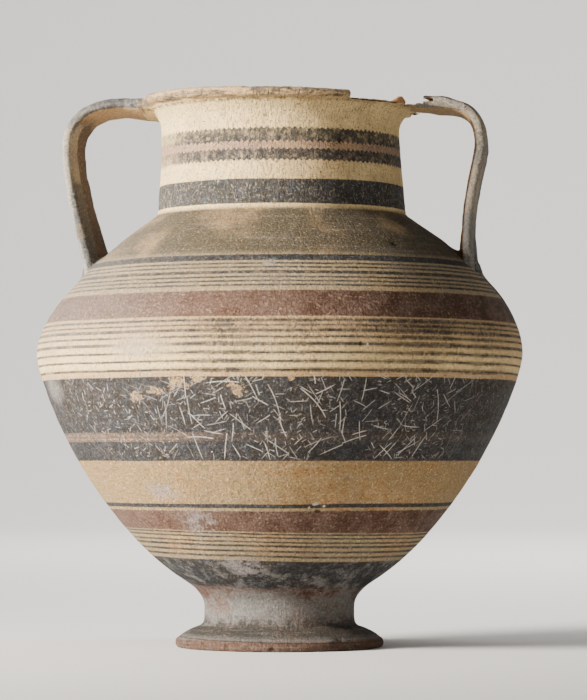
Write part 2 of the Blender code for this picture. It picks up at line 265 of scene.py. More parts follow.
def sway(z):
    """How far the jar's axis strays towards the right handle at heights."""
    middle, upper = NECK_FOOT_Z - NECK_HEIGHT / 2, NECK_FOOT_Z + NECK_HEIGHT / 4
    out = smooth_step(z, BELLY_Z, middle)
    back = 0.55 * smooth_step(z, middle, upper)
    home = 0.35 * smooth_step(z, upper, NECK_TOP_Z)
    return BODY_SWAY * out * (1 - back - home)


# Handles
def strap_line(handle, count):
    """The strap's middle line as (radius, height) points, from the neck's wall to the shoulder's."""
    top = np.array((LIP_RADIUS + ARM_LENGTH, RIM_Z - handle["arm_drop"]))
    side = np.array((handle["reach"] - STRAP_THICKNESS / 2, RIM_Z - REACH_DROP))
    root = np.array((handle["root_radius"], shoulder_height(handle["root_radius"])))
    across, down = (side - top) * handle["bend"]
    bend = bezier(top, top + (across, 0), side - (0, down), side, 60)
    fall = (side - root)[1]
    rise = fall * handle["root_rise"]
    drop = bezier(side, side - (0, fall * handle["hang"]), root + (rise * handle["root_lean"], rise), root,
                  60)
    arm = np.linspace((NECK_TOP_RADIUS, top[1] - handle["arm_rise"]), top, 20)
    line = np.vstack((arm, bend[1:], drop[1:]))
    run = distances(line)
    at = np.linspace(0, run[-1], count)
    return np.column_stack((np.interp(at, run, line[:, 0]), np.interp(at, run, line[:, 1]))), at


def into_strap(points, handle):
    """For points of the jar: place across the strap, place through it (outwards), and share along."""
    turn = math.radians(handle["bearing"])
    x = points[:, 0] * math.cos(turn) + points[:, 1] * math.sin(turn)
    y = points[:, 1] * math.cos(turn) - points[:, 0] * math.sin(turn)
    line, at = strap_line(handle, 160)
    run = heading(line)
    through = np.empty(len(points))
    along = np.empty(len(points))
    for start in range(0, len(points), CHUNK):
        part = slice(start, start + CHUNK)
        away = np.column_stack((x[part], points[part, 2]))[:, None, :] - line[None]
        nearest = np.argmin((away**2).sum(axis=2), axis=1)
        step = away[np.arange(len(nearest)), nearest]
        ahead = run[nearest]
        through[part] = step[:, 1] * ahead[:, 0] - step[:, 0] * ahead[:, 1]
        beyond = step[:, 0] * ahead[:, 0] + step[:, 1] * ahead[:, 1]
        along[part] = at[nearest] / at[-1]
        far = np.where(nearest == 0, np.maximum(-beyond, 0), 0)
        through[part] = np.where(x[part] > 0, np.hypot(through[part], far) * np.sign(through[part]), 1.0)
    twist = math.radians(handle["twist"])
    return (y * math.cos(twist) + through * math.sin(twist), through * math.cos(twist) - y * math.sin(twist),
            along)


# Surface relief
def swells(points, per_metre, seed, octaves=3):
    """Smooth noise at points, about -1 to 1, with a number of swells per metre along each axis."""
    shift = Vector((seed * 7.31, seed * 3.17, seed * 5.53))
    places = points * np.asarray(per_metre, float)
    return np.array([fractal(Vector(p) + shift, 0.7, 2.1, octaves) for p in places])


def unevenness(points, layers, seed, is_out=1.0):
    """How far layers of noise push the surface out at points."""
    push = 0.0
    for k, (depth, per_metre, octaves, outside_alone) in enumerate(layers):
        where = is_out if outside_alone else 1.0
        push = push + depth * swells(points, per_metre, seed + k, octaves) * where
    return push


def jagged(points, per_metre, seed):
    """Noise in all three directions, for the points of a broken face."""
    return np.stack([swells(points, per_metre, seed + k, 3) for k in range(3)], axis=1)


def skin(rings, around, fans):
    """Faces over rings of points, closed at each end by a fan around one more point or by one face."""
    k = np.arange(around)
    n = (k + 1) % around
    last = (rings - 1) * around
    faces = []
    for low in range(0, last, around):
        high = low + around
        corners = (low + k, low + n, high + n, high + k) if fans else (low + k, high + k, high + n, low + n)
        faces += np.column_stack(corners).tolist()
    if not fans:
        return faces + [k.tolist(), (last + k)[::-1].tolist()]
    for middle, first, second in ((last + around, n, k), (last + around + 1, last + k, last + n)):
        faces += np.column_stack((np.full(around, middle), first, second)).tolist()
    return faces


def jar_grid():
    """Vertices of the jar as rings of points, with the relief worked in, and its faces."""
    outline, outside = meridian()
    ring_count = len(outline) - 2
    radius, height = outline[1:-1, 0], outline[1:-1, 1]
    run = np.gradient(outline, axis=0)[1:-1]
    run /= np.maximum(np.linalg.norm(run, axis=1), 1e-9)[:, None]
    normal_r, normal_z = run[:, 1], -run[:, 0]
    angles = np.arange(AROUND) * ROUND / AROUND
    c, s = np.cos(angles)[None], np.sin(angles)[None]
    base = np.stack(np.broadcast_arrays(radius[:, None] * c, radius[:, None] * s, height[:, None]), axis=2)
    flat = base.reshape(-1, 3)
    is_out = np.repeat(np.arange(ring_count) < outside - 1, AROUND)
    z, r = flat[:, 2], np.hypot(flat[:, 0], flat[:, 1])
    angle = np.degrees(np.arctan2(flat[:, 1], flat[:, 0]))

    push = unevenness(flat, JAR_UNEVENNESS, 1, is_out)
    inner_rills = RILL_DEPTH * np.sin(z * ROUND / RILL_SPACING + angle * 0.01745) * (1 - is_out)
    push += inner_rills * smooth_step(z, 0.05, 0.09)
    on_neck_foot = is_out * (r > 0.08) * (r < 0.084)
    push += RIDGE_HEIGHT * np.exp(-(((z - RIDGE_Z) / RIDGE_WIDTH) ** 2)) * on_neck_foot
    push -= lip_wear(flat, z, r)
    push -= foot_wear(flat, z, r)
    push += sum(dent(flat, *spot) for spot in DENTS)
    push += handle_fillets(flat, is_out)
    standing = smooth_step(-z, -0.0012, -0.0002) * (r > RECESS_RADIUS - 0.001)
    push *= 1 - standing

    out = np.column_stack((np.repeat(normal_r, AROUND) * flat[:, 0] / r,
                           np.repeat(normal_r, AROUND) * flat[:, 1] / r, np.repeat(normal_z, AROUND)))
    moved = flat + out * push[:, None]
    share = np.clip((moved[:, 2] - NECK_FOOT_Z) / (RIM_Z - NECK_FOOT_Z), 0, None)
    moved[:, 2] += RIM_WARP * (0.5 - 0.5 * np.cos(np.radians(angle))) ** 2 * share**2
    moved[:, 0] += sway(moved[:, 2])
    moved[:, 2] = np.maximum(moved[:, 2], 0.0)
    ends = np.array([(0, 0, outline[0, 1]), (0, 0, outline[-1, 1])])
    return np.vstack((moved, ends)), skin(ring_count, AROUND, True)


DENTS = (
    # angle, height, radius, depth: knocks and pits seen on the front, and a few like them elsewhere
    (-73.5, 0.0935, 0.0042, -0.0013),
    (-72.3, 0.0905, 0.0030, -0.0011),
    (-46.5, 0.2590, 0.0036, -0.0013),
    (-66.5, 0.1945, 0.0026, -0.0009),
    (-91.0, 0.3415, 0.0026, -0.0009),
    (-83.0, 0.2990, 0.0024, -0.0008),
    (-55.5, 0.3280, 0.0050, -0.0009),
    (-131.0, 0.2350, 0.0035, -0.0007),
    (-100.0, 0.1650, 0.0050, -0.0006),
    (-63.0, 0.1480, 0.0040, -0.0007),
    (40.0, 0.1300, 0.0060, -0.0012),
    (112.0, 0.2050, 0.0050, -0.0010),
    (70.0, 0.3050, 0.0040, -0.0009),
    (155.0, 0.0900, 0.0050, -0.0011),
)


def dent(points, angle, height, radius, depth):
    r = float(outer_radius(height))
    a = math.radians(angle)
    away = np.linalg.norm(points - (r * math.cos(a), r * math.sin(a), height), axis=1)
    return depth * np.exp(-((away / radius) ** 2) * 2)


def lip_wear(points, z, r):
    """Chips and rubbed spots of the lip."""
    on_lip = smooth_step(z, NECK_TOP_Z - 0.001, NECK_TOP_Z + 0.001)
    outer = smooth_step(r, LIP_RADIUS - 0.006, LIP_RADIUS - 0.001)
    chips = smooth_step(swells(points, 95, 11, 2), 0.30, 0.60)
    rough = 0.00022 * swells(points, 420, 12, 2)
    return on_lip * (0.0009 * chips * (0.35 + 0.65 * outer) + rough)


def foot_wear(points, z, r):
    """Chips bitten out of the foot's edge, and its uneven flare."""
    at_edge = smooth_step(r, FOOT_RADIUS - 0.010, FOOT_RADIUS - 0.002) * (1 - smooth_step(z, 0.004, 0.012))
    chips = smooth_step(swells(points, 60, 21, 3), 0.12, 0.50)
    rough = 0.5 + 0.5 * swells(points, 260, 22, 2)
    return at_edge * (0.0016 * chips + 0.0005 * rough)


def handle_fillets(points, is_out):
    """Clay that rises to the handles around their roots."""
    rise = np.zeros(len(points))
    for handle in (LEFT, RIGHT):
        across, through, along = into_strap(points, handle)
        core = STRAP_THICKNESS / 2
        aside = np.maximum(np.abs(across) - (STRAP_WIDTH / 2 * 1.06 - core), 0)
        gap = np.hypot(aside, through) - core
        near_root = (along > 0.5) & (points[:, 2] > BELLY_Z + 0.01)
        under_arm = (along < 0.2) & (through < 0) & (points[:, 2] < NECK_TOP_Z - 0.0005) & (handle is LEFT)
        inside = np.clip(1 - gap / FILLET, 0, 1)
        arc = FILLET * (1 - np.sqrt(np.clip(1 - inside**2, 0, 1)))
        rise = np.maximum(rise, np.where(is_out & (near_root | under_arm), np.minimum(arc, 0.0045), 0))
    return rise


def strap_mesh(handle, seed, rings=104, section_points=40):
    """Vertices and faces of one handle, its ends sunk into the neck and the shoulder."""
    line, at = strap_line(handle, rings)
    run = heading(line)
    a = ROUND * (np.arange(section_points) + 0.5) / section_points
    full = 2 / 3.0
    across = np.sign(np.cos(a)) * np.abs(np.cos(a)) ** full
    through = np.sign(np.sin(a)) * np.abs(np.sin(a)) ** full
    from_root = np.minimum(at, at[-1] - at)
    grow = 1 + ARM_FLARE * (1 - smooth_step(at, 0.0, ARM_FLARE_LENGTH))
    grow += handle["flare"] * (1 - smooth_step(at[-1] - at, 0.0, handle["flare_length"]))
    flat_y = across[None] * grow[:, None] * STRAP_WIDTH / 2
    flat_lift = through[None] * grow[:, None] * STRAP_THICKNESS / 2
    flat_lift = flat_lift * (1 - 0.10 * (1 - across[None] ** 2) * (through[None] > 0))
    twist = math.radians(handle["twist"])
    y = flat_y * math.cos(twist) - flat_lift * math.sin(twist)
    lift = flat_lift * math.cos(twist) + flat_y * math.sin(twist)
    x = line[:, :1] - run[:, 1:] * lift
    z = line[:, 1:] + run[:, :1] * lift
    wall = np.minimum(outer_radius(z[0]) - NECK_WALL / 2, LIP_RADIUS - LIP_WIDTH / 2)
    x[0] = np.sqrt(wall**2 - y[0] ** 2)
    z[-1] = shoulder_height(np.hypot(x[-1], y[-1])) - 0.7 * BODY_WALL
    if handle is RIGHT:
        z = raised(x, z, line, at)
    points = np.stack((x, y, z), axis=2).reshape(-1, 3)
    outward = np.stack((-run[:, 1:] * np.sign(flat_lift), 0.2 * across[None] * np.ones_like(lift),
                        run[:, :1] * np.sign(flat_lift)), axis=2).reshape(-1, 3)
    free = np.repeat(smooth_step(from_root, 0.002, 0.012), section_points)
    points = points + outward * (unevenness(points, STRAP_UNEVENNESS, seed) * free)[:, None]
    turn = math.radians(handle["bearing"])
    turned = np.column_stack((points[:, 0] * math.cos(turn) - points[:, 1] * math.sin(turn),
                              points[:, 0] * math.sin(turn) + points[:, 1] * math.cos(turn), points[:, 2]))
    turned[:, 0] += sway(turned[:, 2])
    return turned, skin(rings, section_points, False)


def raised(x, z, line, at):
    """The shell of the lip's clay that still lies on the right arm."""
    middle = line[:, 1:]
    on_arm = (middle > RIM_Z - REACH_DROP) & (at[:, None] < 0.06) & (z > middle)
    return np.where(on_arm, z + 0.0016 * (1 - smooth_step(x, 0.108, 0.118)), z)


# Building meshes
def mesh_piece(name, vertices, faces, slot=0):
    mesh = bpy.data.meshes.new(name)
    mesh.from_pydata([tuple(v) for v in vertices], [], faces)
    made = bmesh.new()
    made.from_mesh(mesh)
    bmesh.ops.recalc_face_normals(made, faces=made.faces)
    for face in made.faces:
        face.material_index = slot
    made.to_mesh(mesh)
    made.free()
    piece = bpy.data.objects.new(name, mesh)
    bpy.context.scene.collection.objects.link(piece)
    return piece


def rough_block(name, low, high, roughness, seed):
    """A box whose faces are broken up as a fracture is, for cutting."""
    low, high = np.array(low, float), np.array(high, float)
    steps = np.maximum(2, np.round((high - low) / BROKEN_CELL).astype(int))
    places, faces = {}, []
    for axis in range(3):
        u, v = (axis + 1) % 3, (axis + 2) % 3
        for end in (0, steps[axis]):
            for i in range(steps[u]):
                for j in range(steps[v]):
                    corner = []
                    for du, dv in ((0, 0), (1, 0), (1, 1), (0, 1)):
                        key = [0, 0, 0]
                        key[axis], key[u], key[v] = int(end), i + du, j + dv
                        corner.append(places.setdefault(tuple(key), len(places)))
                    faces.append(corner)
    points = np.array(list(places)) / steps * (high - low) + low
    return mesh_piece(name, points + roughness * jagged(points, 330, seed), faces, slot=1)


def break_cutter():
    """What is lost of the right arm beside the neck: all behind a slanting break but its front edge."""
    corners = [np.array(corner) for corner in BREAK_PLAN]
    sides = [np.linspace(a, b, 16, endpoint=False) for a, b in zip(corners, corners[1:] + corners[:1])]
    loop = np.vstack(sides)
    heights = np.linspace(0.3440, 0.3720, 16)
    rings = [np.column_stack((loop, np.full(len(loop), z))) for z in heights]
    middle = loop.mean(axis=0)
    ends = [(middle[0], middle[1], heights[0]), (middle[0], middle[1], heights[-1])]
    points = np.vstack(rings + [ends])
    faces = skin(len(heights), len(loop), True)
    return mesh_piece("behind_break", points + 0.0007 * jagged(points, 300, 71), faces, slot=1)


def lip_cutter():
    """What is lost of the lip: a ring sector with a fractured underside and ragged ends."""
    share = np.linspace(0, 1, 190)
    degrees = BREAK_START + (BREAK_END - BREAK_START) * share
    # Radius, and height over the broken edge or, last and first, the cut's top
    rows = [(0.0700, CUT_TOP), (0.0730, 0.0010), (0.0755, 0.0006), (0.0778, 0.0003), (0.0800, 0.0),
            (0.0822, -0.0002), (0.0842, -0.0003), (0.0860, -0.0004), (0.0874, -0.0012), (0.0884, -0.0030),
            (0.0900, -0.0046), (0.0930, -0.0052), (0.0990, -0.0056), (0.0990, CUT_TOP)]
    vertices = []
    for angle in degrees:
        a = math.radians(angle)
        run = SPIKE_RUN_UP if angle < SPIKE_ANGLE else SPIKE_RUN_DOWN
        spike = max(0.0, 1 - abs(angle - SPIKE_ANGLE) / run)
        over_handle = smooth_step(angle, ARM_EDGE_ANGLE - 1.0, ARM_EDGE_ANGLE + 1.0)
        edge = NECK_TOP_Z + STUB_HEIGHT - 0.0004 * over_handle
        for r, drop in rows:
            stands = SPIKE_HEIGHT * spike * smooth_step(r, 0.0830, 0.0862)
            z = drop if drop == CUT_TOP else edge + stands + drop * (1 - over_handle)
            out = r + (0.0022 * spike if 0.085 < r < 0.095 else 0.0)
            vertices.append((out * math.cos(a), out * math.sin(a), z))
    vertices = np.array(vertices)
    ragged = jagged(vertices, 300, 31)
    vertices[:, 2] += 0.0008 * swells(vertices, (70, 70, 20), 35, 2)
    vertices += ragged * np.array((0.0007, 0.0007, 0.00055))
    return mesh_piece("lost_lip", vertices, skin(len(degrees), len(rows), False), slot=1)


def combine(whole, part, operation):
    step = whole.modifiers.new(part.name, "BOOLEAN")
    step.operation = operation
    step.solver = "EXACT"
    step.object = part
    step.material_mode = "INDEX"


def applied(piece, name):
    """A new object with the piece's modifiers worked into its mesh."""
    graph = bpy.context.evaluated_depsgraph_get()
    mesh = bpy.data.meshes.new_from_object(piece.evaluated_get(graph))
    mesh.name = name
    whole = bpy.data.objects.new(name, mesh)
    bpy.context.scene.collection.objects.link(whole)
    return whole


def soften_seams(piece, sources):
    """Rounds the seams that joining left, where a potter's finger would have."""
    tree = KDTree(sum(len(s.data.vertices) for s in sources))
    index = 0
    for source in sources:
        for vertex in source.data.vertices:
            tree.insert(vertex.co, index)
            index += 1
    tree.balance()
    made = bmesh.new()
    made.from_mesh(piece.data)
    seam = {v for v in made.verts if tree.find(v.co)[2] > 2e-6
            and not any(f.material_index == 1 for f in v.link_faces)}
    near = set(seam)
    for _ in range(2):
        near |= {e.other_vert(v) for v in near for e in v.link_edges}
    near = [v for v in near if not any(f.material_index == 1 for f in v.link_faces)]
    for _ in range(4):
        bmesh.ops.smooth_vert(made, verts=near, factor=0.5, use_axis_x=True, use_axis_y=True, use_axis_z=True)
    made.to_mesh(piece.data)
    made.free()


def add_fields(piece):
    """Values at each vertex that the paint follows: which strap face it is on, and the jar's inside."""
    mesh = piece.data
    count = len(mesh.vertices)
    points = np.empty(count * 3)
    mesh.vertices.foreach_get("co", points)
    points = points.reshape(-1, 3)
    points[:, 0] -= sway(points[:, 2])
    r, z = np.hypot(points[:, 0], points[:, 1]), points[:, 2]
    strap = np.zeros(count)
    face = np.zeros(count)
    for handle in (LEFT, RIGHT):
        across, through, along = into_strap(points, handle)
        core = STRAP_THICKNESS / 2
        aside = np.maximum(np.abs(across) - (STRAP_WIDTH / 2 * 1.08 - core), 0)
        gap = np.hypot(aside, through) - core
        clear = np.where(z > 0.30, r - (LIP_RADIUS - 0.001), r - outer_radius(z))
        at_root = smooth_step(along, 0.86, 0.93)
        mine = (gap < 0.0022 + 0.0050 * at_root) & (clear > 0.0006 * (1 - at_root)) & (z > BELLY_Z + 0.01)
        strap = np.where(mine, 1.0, strap)
        face = np.where(mine, through / core, face)
    normals = np.empty(count * 3)
    mesh.vertex_normals.foreach_get("vector", normals)
    normals = normals.reshape(-1, 3)
    to_axis = -(normals[:, 0] * points[:, 0] + normals[:, 1] * points[:, 1]) / np.maximum(r, 1e-6)
    inside = (r < outer_radius(z) - NECK_WALL / 2) & (z > RECESS_DEPTH + 0.008) & (z < NECK_WAIST_Z)
    inside |= (r < LIP_RADIUS - LIP_WIDTH / 2) & (z >= NECK_WAIST_Z) & (to_axis > 0.25)
    recess = recess_curve()
    under = (r < RECESS_RADIUS) & (z < np.interp(r, recess[:, 0], recess[:, 1]) + 0.002)
    for name, values in (("strap", strap), ("strap_face", face), ("hidden_side", (inside | under) * 1.0)):
        layer = mesh.attributes.new(name, "FLOAT", "POINT")
        layer.data.foreach_set("value", values.astype(np.float32))


def build_jar():
    body = mesh_piece("body_form", *jar_grid())
    left = mesh_piece("left_strap", *strap_mesh(LEFT, 41))
    right = mesh_piece("right_strap", *strap_mesh(RIGHT, 51))
    slot_cut = rough_block("flaked_layer", (0.0870, -0.032, 0.3567), (0.1030, 0.006, 0.3589), 0.0006, 61)
    end_cut = rough_block("lost_arm", (0.0840, -0.032, RIM_Z - BRIDGE_TOP), (0.0915, 0.032, CUT_TOP), 0.0010,
                          65)
    lip = lip_cutter()
    behind = break_cutter()
    for part, operation in ((left, "UNION"), (right, "UNION"), (lip, "DIFFERENCE"), (end_cut, "DIFFERENCE"),
                            (slot_cut, "DIFFERENCE"), (behind, "DIFFERENCE")):
        combine(body, part, operation)
    body.data.materials.append(None)
    body.data.materials.append(None)
    jar = applied(body, "jar")
    soften_seams(jar, (body, left, right))
    for spent in (body, left, right, lip, end_cut, behind, slot_cut):
        bpy.data.objects.remove(spent)
    add_fields(jar)
    jar.data.shade_smooth()
    return jar


# Colours, linear
DARK = (0.0125, 0.0145, 0.0175, 1)
DARK_WARM = (0.019, 0.016, 0.0135, 1)
GREY_BLUE = (0.03, 0.039, 0.048, 1)
GREY_PURPLE = (0.036, 0.028, 0.031, 1)
PURPLE = (0.042, 0.0172, 0.0125, 1)
PURPLE_PALE = (0.092, 0.05, 0.038, 1)
CREAM = (0.71, 0.52, 0.245, 1)
CREAM_ORANGE = (0.440, 0.285, 0.138, 1)
PINK_CLAY = (0.3, 0.19, 0.126, 1)
YELLOW = (0.258, 0.17, 0.077, 1)
ORANGE_STAIN = (0.230, 0.095, 0.026, 1)
# Dark clay; on the upper shoulder it is painted shade on the upward-facing slope
SHOULDER_SHADE_AND_DARK_CLAY = (0.068, 0.055, 0.034, 1)
STAIN = (0.090, 0.058, 0.032, 1)
# Painted shade: the shadow line under the lip, the line at the top of the foot's edge and the dents' hollows
PAINTED_SHADE = (0.035, 0.022, 0.014, 1)
DEPOSIT = (0.260, 0.246, 0.222, 1)
LIME = (0.450, 0.420, 0.370, 1)
LILAC = (0.250, 0.216, 0.205, 1)
SCRATCH = (0.42, 0.39, 0.345, 1)
# Dark brown clay; used as painted shade on the handles' inner faces, with the shaded clay below
DARK_CLAY_AND_SHADE = (0.09, 0.04, 0.011, 1)
CLAY_SHADED = (0.04, 0.017, 0.005, 1)
CLAY_FRESH = (0.4, 0.165, 0.055, 1)
CLAY_INSIDE = (0.200, 0.122, 0.062, 1)
FOOT_EDGE_CLAY = (0.07, 0.04, 0.029, 1)
FOOT_CRUST = (0.118, 0.114, 0.106, 1)
STRAP_GREY = (0.225, 0.210, 0.185, 1)
FLANGE_GREY = (0.032, 0.029, 0.026, 1)
LINE_GROUND = (0.262, 0.196, 0.11, 1)

# Painted bands in millimetres over the ground: (lower edge, upper edge)
TOOTHED_BANDS = ((313.9, 322.3), (325.9, 335.7))
TEETH = 136
TOOTH_DEPTH = 0.55
DARK_BANDS = ((286.5, 302.3), (247.3, 251.2), (122.3, 174.4), (92.8, 95.3), (40.4, 58.8))
PURPLE_BANDS = ((211.4, 227.8), (77.5, 90.9), (33.5, 40.4))
RESERVED_STRIPE = (134.2, 140.0)
# Thin lines: (height, width)
LINES_ON_SHOULDER = ((231.2, 1.3), (233.8, 1.2), (236.4, 1.2), (239.6, 2.1), (242.8, 1.2), (245.3, 1.3))
LINES_ON_BELLY = ((178.4, 1.5), (183.8, 1.4), (189.0, 1.4), (194.3, 2.0), (198.6, 1.4), (202.6, 2.0),
                  (205.8, 1.1), (208.9, 1.6))
LINES_OVER_FOOT = ((61.7, 1.4), (65.0, 1.4), (68.4, 1.5), (71.0, 1.1), (73.9, 1.1), (76.2, 1.1))
FOOT_LINES_TILT = 0.018
# Spots: (angle, height, half width, half height)
RUBBED_SPOTS = ((-121.0, 162.6, 4.6, 2.6), (-115.0, 166.4, 6.0, 2.2), (-108.8, 170.4, 6.4, 3.8),
                (-103.6, 173.2, 5.0, 2.0), (-94.8, 166.4, 3.8, 4.8), (-82.0, 173.4, 2.6, 1.3),
                (28.0, 160.0, 12.0, 4.0), (96.0, 150.0, 8.0, 5.0))
PALE_WASHES = ((-118.5, 193.2, 21.0, 6.2), (-156.0, 169.0, 15.0, 8.0))
SMEARS = ((-123.0, 103.0, 12.0, 6.0), (-114.0, 84.0, 12.0, 7.0), (-87.6, 246.2, 3.4, 2.4),
          (-100.0, 55.0, 14.0, 6.0))
STEM_WASHES = ((-97.0, 33.0, 22.0, 6.0), (-30.0, 34.0, 10.0, 5.0), (70.0, 33.0, 16.0, 6.0))
STEM_REDS = ((-142.0, 31.0, 14.0, 9.0), (120.0, 31.0, 12.0, 8.0))
LIME_SPOTS = ((-73.5, 94.8, 2.0, 1.5), (-70.6, 93.9, 1.2, 0.7), (-75.2, 92.8, 0.8, 1.2),
              (-102.9, 128.0, 0.6, 0.5), (-45.6, 257.6, 0.8, 0.6), (-65.0, 194.0, 0.6, 1.1),
              (60.0, 120.0, 1.8, 1.2))
# Dents darkened with painted shade in their hollows, in the same columns
SHADED_PIT_SPOTS = ((-72.3, 90.5, 1.9, 1.3), (-91.0, 341.5, 0.6, 2.3), (-83.0, 299.0, 0.6, 2.0),
             (-55.5, 328.0, 0.8, 2.6), (-46.5, 259.4, 1.6, 1.3), (-66.6, 194.8, 1.0, 1.2),
             (-69.0, 245.5, 1.3, 0.9), (112.0, 205.0, 2.2, 1.4))
# Scratches: (cell with one scratch, width, reach, share of the cells that have one, seed)
LONG_SCRATCHES = ((20.0, 0.42, 12.0, 0.95, 1), (17.0, 0.38, 10.0, 0.90, 6))
CROSSING_SCRATCHES = (10.0, 0.40, 5.5, 0.85, 2)
SHORT_SCRATCHES = (6.2, 0.40, 2.4, 0.70, 3)
NICKS = (4.2, 0.42, 1.1, 0.45, 4)
MORE_NICKS = (5.0, 0.38, 1.6, 0.45, 5)
SCRATCH_BOW = 0.022
UNROLLED_RADIUS = 135.0
RAMP_STOPS = 32  # a colour ramp holds no more


class Value:
    """What a node gives. A sum, difference or product with it adds a further node."""

    def __init__(self, n, socket):
        self.n = n
        self.socket = socket

    def __add__(self, other):
        return self.n.math("ADD", self, other)

    def __sub__(self, other):
        return self.n.math("SUBTRACT", self, other)

    def __rsub__(self, other):
        return self.n.math("SUBTRACT", other, self)

    def __mul__(self, other):
        return self.n.math("MULTIPLY", self, other)


class Nodes:
    """Builds one material: each call adds a node and returns what it gives."""

    def __init__(self, name):
        self.material = bpy.data.materials.new(name)
        self.material.use_nodes = True
        self.tree = self.material.node_tree
        self.shader = self.tree.nodes["Principled BSDF"]

    def add(self, kind, **settings):
        made = self.tree.nodes.new(kind)
        for key, value in settings.items():
            setattr(made, key, value)
        return made

    def wire(self, value, socket):
        if isinstance(value, Value):
            value = value.socket
        if isinstance(value, bpy.types.NodeSocket):
            self.tree.links.new(value, socket)
        else:
            socket.default_value = value

    def math(self, operation, *values):
        made = self.add("ShaderNodeMath", operation=operation)
        for value, socket in zip(values, made.inputs):
            self.wire(value, socket)
        return Value(self, made.outputs[0])

    def most(self, *values):
        top = values[0]
        for value in values[1:]:
            top = self.math("MAXIMUM", top, value)
        return top

    def vector(self, operation, a, b):
        made = self.add("ShaderNodeVectorMath", operation=operation)
        self.wire(a, made.inputs[0])
        self.wire(b, made.inputs["Scale"] if operation == "SCALE" else made.inputs[1])
        given = "Value" if operation in ("LENGTH", "DOT_PRODUCT") else "Vector"
        return Value(self, made.outputs[given])

    def join(self, x, y, z=0.0):
        made = self.add("ShaderNodeCombineXYZ")
        for value, socket in zip((x, y, z), made.inputs):
            self.wire(value, socket)
        return Value(self, made.outputs[0])

    def split(self, vector):
        made = self.add("ShaderNodeSeparateXYZ")
        self.wire(vector, made.inputs[0])
        return [Value(self, socket) for socket in made.outputs]

    def step(self, value, low, high):
        """0 at low and 1 at high, with a soft run between."""
        made = self.add("ShaderNodeMapRange", interpolation_type="SMOOTHSTEP")
        self.wire(value, made.inputs["Value"])
        if isinstance(low, float) and isinstance(high, float) and low > high:
            made.inputs["From Min"].default_value, made.inputs["From Max"].default_value = high, low
            made.inputs["To Min"].default_value, made.inputs["To Max"].default_value = 1.0, 0.0
        else:
            self.wire(low, made.inputs["From Min"])
            self.wire(high, made.inputs["From Max"])
        return Value(self, made.outputs[0])

    def between(self, value, low, high, soft=0.35):
        return self.step(value, low - soft, low + soft) * self.step(value, high + soft, high - soft)

    def noise(self, vector, scale, detail=2.0, roughness=0.55):
        made = self.add("ShaderNodeTexNoise")
        self.wire(vector, made.inputs["Vector"])
        made.inputs["Scale"].default_value = scale
        made.inputs["Detail"].default_value = detail
        made.inputs["Roughness"].default_value = roughness
        return Value(self, made.outputs["Fac"])

    def wobble(self, vector, scale, reach, detail=2.0):
        """Smooth noise that swings about 0 by roughly the reach."""
        return (self.noise(vector, scale, detail) - 0.5) * (reach * 3.0)

    def mix(self, share, a, b, blend="MIX"):
        made = self.add("ShaderNodeMix", data_type="RGBA", blend_type=blend)
        self.wire(share, made.inputs[0])
        self.wire(a, made.inputs[6])
        self.wire(b, made.inputs[7])
        return Value(self, made.outputs[2])

    def ramp(self, value, stops):
        """A colour for a share from 0 to 1, by (share, colour) stops."""
        made = self.add("ShaderNodeValToRGB")
        self.wire(value, made.inputs[0])
        elements = made.color_ramp.elements
        elements.remove(elements[-1])
        elements[0].position, elements[0].color = stops[0]
        for place, colour in stops[1:]:
            elements.new(place).color = colour
        return Value(self, made.outputs[0])

    def attribute(self, name):
        return Value(self, self.add("ShaderNodeAttribute", attribute_name=name).outputs["Fac"])


def thin_lines(n, height, lines, soft=0.25):
    """The mask of a group of thin painted lines."""
    low, high = lines[0][0] - 3.0, lines[-1][0] + 3.0
    stops = [] if 4 * len(lines) == RAMP_STOPS else [(0.0, (0, 0, 0, 1))]
    for middle, width in lines:
        for edge, value in ((-width / 2 - soft, 0), (-width / 2 + soft, 1), (width / 2 - soft, 1),
                            (width / 2 + soft, 0)):
            stops.append(((middle + edge - low) / (high - low), (value, value, value, 1)))
    share = n.math("DIVIDE", height - low, high - low)
    return n.ramp(share, stops)


def spots(n, place, ragged, shapes, soft=0.15):
    """Ragged blots on the jar's outside, around the shapes' middles."""
    nearest = 9.0
    for angle, height, half_width, half_height in shapes:
        a = math.radians(angle)
        radius = 1000 * float(outer_radius(height / 1000))
        middle = (radius * math.cos(a), radius * math.sin(a), height)
        away = n.vector("SUBTRACT", place, middle)
        away = n.vector("DIVIDE", away, (half_width, half_width, half_height))
        nearest = n.math("MINIMUM", nearest, n.vector("LENGTH", away, (0, 0, 0)))
    return n.step(nearest + ragged, 1.0 + soft, 1.0 - soft)


def scratches(n, flat, cell, width, reach, kept, seed):
    """Straight scratches, one to each random cell of the unrolled surface, each at its own angle."""
    place = n.vector("ADD", flat, (seed * 137.3, seed * 59.1, 0.0))
    cells = n.add("ShaderNodeTexVoronoi", voronoi_dimensions="2D")
    n.wire(place, cells.inputs["Vector"])
    cells.inputs["Scale"].default_value = 1 / cell
    dx, dy, _ = n.split(n.vector("SUBTRACT", place, cells.outputs["Position"]))
    turn, size, chance = n.split(cells.outputs["Color"])
    angle = turn * ROUND
    c, s = n.math("COSINE", angle), n.math("SINE", angle)
    along = dx * c + dy * s
    across = dy * c - dx * s
    bowed = across + along * along * ((size - 0.5) * SCRATCH_BOW)
    length = (size + 0.45) * reach
    thin = n.step(n.math("ABSOLUTE", bowed), width, width * 0.35)
    ends = n.step(n.math("DIVIDE", n.math("ABSOLUTE", along), length), 1.0, 0.55)
    strength = n.math("FRACT", chance * 7.0) * 0.65 + 0.35
    return thin * ends * strength * n.step(chance, 1.0 - kept, 1.001 - kept)


